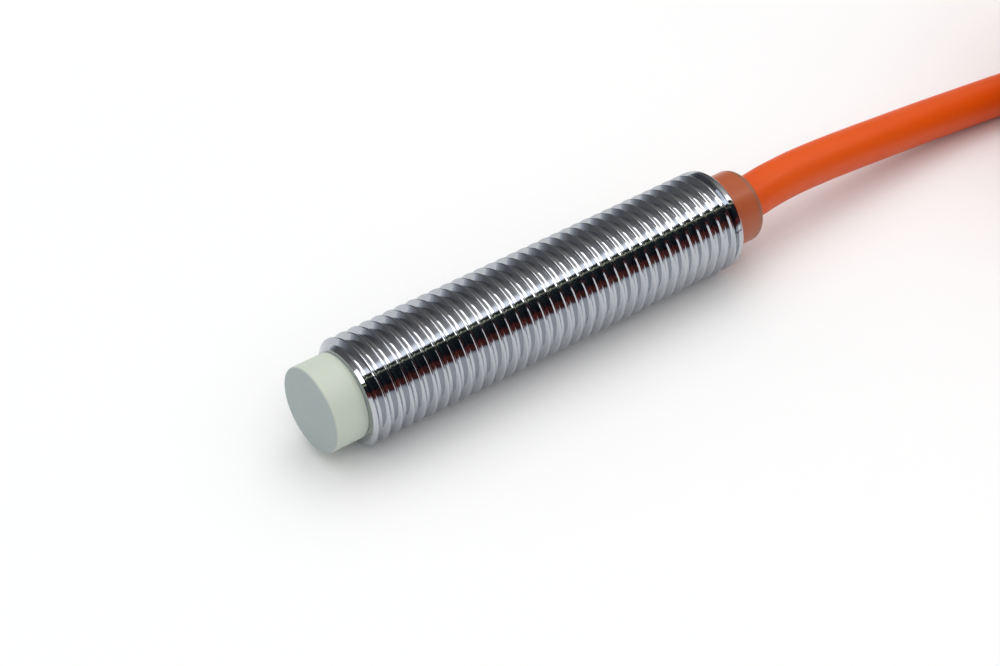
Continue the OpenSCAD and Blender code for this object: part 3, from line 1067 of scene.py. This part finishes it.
@dataclass
class HankTie:
    """The flat tie round the hank's waist, with its two ends twisted together on top."""

    thick: float = 0.8 * MM
    corner: float = 2.6 * MM
    edge: float = 0.2 * MM
    edge_steps: int = 3
    rise: float = 0.9 * MM
    twist_size: tuple[float, float] = (1.5 * MM, 0.7 * MM)
    twist_steps: int = 30
    twist_turn: float = 36.0
    twist_lift: float = 1.53 * MM
    twist_len: float = 9.0 * MM

    def build(self) -> Piece:
        """Models the tie.

        Returns:
            The tie, in object mode.
        """
        low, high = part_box("hank_tie")
        hank_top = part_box("cable_hank")[1].z
        band = self.band(low, Vector((high.x, high.y, hank_top + self.rise)))
        knot = Vector(((low.x + high.x) / 2, (low.y + high.y) / 2, hank_top + self.twist_lift))
        twist = self.twisted_ends(knot)
        select_only(band, twist)
        bpy.ops.object.join()
        smooth(band, 40)
        return band

    def band(self, low: Vector, high: Vector) -> Piece:
        """Bends the flat band into a closed loop.

        Args:
            low: Lowest corner of the loop's box.
            high: Highest corner of the loop's box.

        Returns:
            The band, in object mode.
        """
        middle = (low.x + high.x) / 2
        corners = (
            (middle, low.z, 0),
            (high.x, low.z, self.corner),
            (high.x, high.z, self.corner),
            (low.x, high.z, self.corner),
            (low.x, low.z, self.corner),
            (middle, low.z, 0),
        )
        band = trace("tie_band", [(x, low.y, z) for x, z in fillet(corners)])
        bpy.ops.mesh.remove_doubles(threshold=WELD_GAP)
        bpy.ops.mesh.extrude_region_move(TRANSFORM_OT_translate={"value": (0, high.y - low.y, 0)})
        weld(band)
        close_edit()
        wall = band.modifiers.new("wall", "SOLIDIFY")
        wall.thickness = self.thick
        wall.offset = -1
        edge = band.modifiers.new("edge", "BEVEL")
        edge.width = self.edge
        edge.segments = self.edge_steps
        edge.limit_method = "ANGLE"
        apply_modifiers(band)
        return band

    def twisted_ends(self, start: Vector) -> Piece:
        """Twists the two ends of the tie together along +X.

        Args:
            start: Where the twist begins.

        Returns:
            The twist, in object mode.
        """
        clear_selection()
        bpy.ops.mesh.primitive_plane_add(size=1, location=start, rotation=(0, math.pi / 2, 0))
        obj = bpy.context.object
        obj.name = obj.data.name = "tie_twist"
        obj.scale = (self.twist_size[0], self.twist_size[1], 1)
        bpy.ops.object.transform_apply(location=True, rotation=True, scale=True)
        edit(obj)
        bpy.ops.mesh.select_all(action="SELECT")
        bpy.ops.mesh.bevel(offset=self.edge, segments=self.edge_steps, affect="VERTICES")
        bpy.ops.mesh.select_all(action="SELECT")
        step = Vector((self.twist_len / self.twist_steps, 0, 0))
        turn = math.radians(self.twist_turn)
        for _ in range(self.twist_steps):
            start = start + step
            bpy.ops.mesh.extrude_region_move(TRANSFORM_OT_translate={"value": step})
            bpy.ops.transform.rotate(value=turn, orient_axis="X", center_override=start)
        weld(obj)
        close_edit()
        return obj


INNER_PARTS: dict[str, tuple[str, ...]] = {
    "ferrite": ("ferrite_core",),
    "bobbin": ("coil_bobbin", "core_carrier"),
    "copper": ("coil_winding", "coil_lead", "wire_pad", "wire_end"),
    "brass": ("screening_sleeve", "strain_relief_ring"),
    "board": ("circuit_board",),
    "chip": ("oscillator_chip", "output_transistor", "voltage_regulator", "chip_resistor"),
    "diode": ("protection_diode",),
    "ceramic": ("chip_capacitor",),
    "led": ("status_led",),
    "core_brown": ("core_brown",),
    "core_black": ("core_black",),
    "core_blue": ("core_blue",),
    "solder": ("solder_joint",),
    "resin": ("potting_resin",),
    "jacket": ("cable_entry",),
}


def dress_inner_parts(paints: Paintbox) -> int:
    """Puts each part inside the housing, numbered or not, into its finish.

    Args:
        paints: Where the materials come from.

    Returns:
        The number of parts dressed.
    """
    finish_of = {part: key for key, parts in INNER_PARTS.items() for part in parts}
    count = 0
    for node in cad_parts:
        part = node.rstrip("0123456789").rstrip("_")
        if part in finish_of:
            paints.repaint(node, finish_of[part])
            count += 1
    return count


# ---------- studio ----------


@dataclass
class Studio:
    """The table top, the soft lights, the tent that the plating mirrors, and the camera."""

    floor_size: float = 3.0
    camera_place: Point = (93.13 * MM, -75.50 * MM, 97.55 * MM)
    camera_turn: float = 52.29
    camera_tilt: float = 38.85
    lens: float = 74.86
    sensor: float = 36.0
    view_range: tuple[float, float] = (5 * MM, 20.0)
    backdrop: float = 0.95
    # Bands round the sensor's axis: degrees from straight up towards +X, and the colour there.
    tent: tuple[tuple[float, Colour], ...] = (
        (-180, (0.8, 0.84, 0.92)),
        (-92, (0.8, 0.84, 0.92)),
        (-85, (0.3, 0.31, 0.34)),
        (-76, (0.13, 0.13, 0.14)),
        (-40, (0.16, 0.155, 0.15)),
        (-15, (0.42, 0.4, 0.38)),
        (10, (0.85, 0.82, 0.78)),
        (17, (2.6, 2.6, 2.6)),
        (25, (3.2, 3.2, 3.2)),
        (27, (0.03, 0.04, 0.035)),
        (33, (0.03, 0.035, 0.03)),
        (35, (0.8, 0.8, 0.55)),
        (37, (0.02, 0.028, 0.03)),
        (66, (0.008, 0.01, 0.014)),
        (71, (0.11, 0.025, 0.022)),
        (84, (0.13, 0.035, 0.03)),
        (89, (0.8, 0.84, 0.9)),
        (180, (0.8, 0.84, 0.92)),
    )
    strip: tuple[float, float] = (-14, 26)
    strip_reach: tuple[float, float] = (-0.25, -0.1)
    strip_glow: float = 3.2
    zenith: Colour = (1.42, 1.41, 1.39)
    horizon: Colour = (0.17, 0.21, 0.25)

    def build(self, paints: Paintbox) -> None:
        """Sets up the whole studio.

        Args:
            paints: Where the floor's material comes from.
        """
        bpy.context.scene.view_settings.view_transform = "Standard"
        self.camera()
        self.floor(paints)
        self.tent_world()
        self.softbox("Key Softbox", (-0.28, 0.22, 0.55), 0.5, 1.1)
        self.softbox("Fill Softbox", (0.5, 0.1, 0.5), 0.6, 0.4)

    def camera(self) -> None:
        """Places the camera."""
        data = bpy.data.cameras.new("Camera")
        data.lens = self.lens
        data.sensor_width = self.sensor
        data.clip_start, data.clip_end = self.view_range
        camera = bpy.data.objects.new("Camera", data)
        bpy.context.scene.collection.objects.link(camera)
        turn, tilt = math.radians(self.camera_turn), math.radians(self.camera_tilt)
        back = Vector((math.sin(turn) * math.cos(tilt), -math.cos(turn) * math.cos(tilt), math.sin(tilt)))
        camera.location = self.camera_place
        camera.rotation_euler = (-back).to_track_quat("-Z", "Y").to_euler()
        bpy.context.scene.camera = camera

    def floor(self, paints: Paintbox) -> None:
        """Lays the table top under everything."""
        clear_selection()
        bpy.ops.mesh.primitive_plane_add(size=self.floor_size, location=(0, 0, 0))
        floor = bpy.context.object
        floor.name = "table_top"
        paints.dress(floor, "floor")

    def softbox(self, name: str, place: Point, size: float, power: float) -> None:
        """Hangs a square soft light that faces the sensor.

        Args:
            name: Name of the light.
            place: Where it hangs, in metres.
            size: Length of its side.
            power: Its power in watts.
        """
        data = bpy.data.lights.new(name, "AREA")
        data.size = size
        data.energy = power
        light = bpy.data.objects.new(name, data)
        light.location = place
        light.rotation_euler = (-Vector(place)).to_track_quat("-Z", "Y").to_euler()
        light.visible_glossy = False
        bpy.context.scene.collection.objects.link(light)

    def tent_world(self) -> None:
        """Builds the light tent: soft for light, banded where it is mirrored, plain where it is seen."""
        world = bpy.data.worlds.new("Light Tent")
        world.use_nodes = True
        bpy.context.scene.world = world
        desk = Desk(world.node_tree)
        world.node_tree.nodes.clear()
        way = desk.add("ShaderNodeTexCoord").outputs["Generated"]
        parts = desk.add("ShaderNodeSeparateXYZ", {0: way})
        angle = desk.sum_of(parts.outputs["X"], parts.outputs["Z"], "ARCTAN2")
        share = desk.spread(angle, -math.pi, math.pi, 0.0, 1.0)
        ramp = desk.add("ShaderNodeValToRGB", {0: share})
        stops = ramp.color_ramp.elements
        stops[0].position, stops[1].position = 0.0, 1.0
        for degrees, _ in self.tent[1:-1]:
            stops.new((degrees + 180) / 360)
        for stop, (_, colour) in zip(stops, self.tent):
            stop.color = (*colour, 1)
        path = desk.add("ShaderNodeLightPath").outputs
        low, high = (math.radians(edge) for edge in self.strip)
        above, below = desk.sum_of(angle, low, "GREATER_THAN"), desk.sum_of(angle, high, "LESS_THAN")
        inside = desk.sum_of(above, below, "MULTIPLY")
        ahead = desk.spread(parts.outputs["Y"], *self.strip_reach, self.strip_glow, 0.0)
        strip = self.background(desk, WHITE, desk.sum_of(inside, ahead, "MULTIPLY"))
        bands = self.background(desk, ramp.outputs["Color"])
        mirrored = desk.add("ShaderNodeAddShader", {0: strip, 1: bands}).outputs[0]
        sky = desk.blend(parts.outputs["Z"], (*self.horizon, 1), (*self.zenith, 1), clamp_factor=True)
        even = self.background(desk, sky)
        seen = self.background(desk, WHITE, self.backdrop)
        lit = desk.add("ShaderNodeMixShader", {0: path["Is Glossy Ray"], 1: even, 2: mirrored}).outputs[0]
        all_rays = desk.add("ShaderNodeMixShader", {0: path["Is Camera Ray"], 1: lit, 2: seen}).outputs[0]
        desk.add("ShaderNodeOutputWorld", {"Surface": all_rays})

    def background(self, desk: Desk, colour: Any, strength: Any = 1.0) -> Socket:
        """Adds a background shader and returns its socket."""
        return desk.add("ShaderNodeBackground", {"Color": colour, "Strength": strength}).outputs[0]


FREE_CORES = (
    FreeCore(
        Core.BROWN, 1,
        (
            (28.9, 57, 1.5), (28.6, 54.5, 1.2), (28.1, 51, 0.7), (27.4, 47, 0.48), (26.8, 43, 0.48),
            (26.5, 39, 0.48), (26.6, 35.5, 0.48),
        ),
    ),
    FreeCore(
        Core.BLACK, 2,
        (
            (29.4, 57, 2.3), (29.4, 54.5, 1.9), (29.4, 51, 1), (29.2, 47, 0.48), (28.9, 43, 0.48),
            (28.7, 39, 0.48), (28.8, 35, 0.48),
        ),
    ),
    FreeCore(
        Core.BLUE, 3,
        (
            (29.9, 57, 1.5), (30.1, 54.5, 1.2), (30.5, 51, 0.7), (30.9, 47, 0.48), (31, 43, 0.48),
            (30.8, 39, 0.48), (30.4, 36, 0.48),
        ),
    ),
)


def main() -> None:
    """Builds the scene piece by piece and reports each one."""
    logging.basicConfig(level=logging.INFO, format="%(name)s: %(message)s")
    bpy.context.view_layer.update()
    paints = Paintbox()
    Studio().build(paints)
    LOG.info("studio set up")

    cable_facts = Cable()
    cable = cable_facts.build()
    paints.dress(cable, "jacket")
    stand_in(cable, "cable_jacket", "cable_lead", "cable_hank", "cable_tail")
    LOG.info("cable: %d points", len(cable_facts.route()))

    tie = HankTie().build()
    paints.dress(tie, "tie")
    stand_in(tie, "tie", "hank_tie")
    ends = [tie]
    for free in FREE_CORES:
        sleeve, strands = free.build()
        paints.dress(sleeve, f"core_{free.core.value}")
        paints.dress(strands, "solder")
        stand_in(sleeve, f"core_{free.core.value}", f"pigtail_{free.core.value}")
        stand_in(strands, "solder", f"tinned_end_{free.number}")
        ends += [sleeve, strands]
    cable_facts.route()[0]
    LOG.info("cable ends and tie: %d pieces", len(ends))

    for piece, key, slot, node in (
        (ThreadedBarrel().build(), "chrome", "chrome", "threaded_barrel"),
        (SensingCap().build(), "cap", "cap_plastic", "sensing_cap"),
        (EndBushing().build(), "bushing", "bushing_plastic", "end_bushing"),
    ):
        paints.dress(piece, key)
        stand_in(piece, slot, node)
        LOG.info("%s: %d faces", piece.name, len(piece.data.polygons))
    LOG.info("inner parts: %d dressed", dress_inner_parts(paints))


if __name__ == "__main__":
    main()
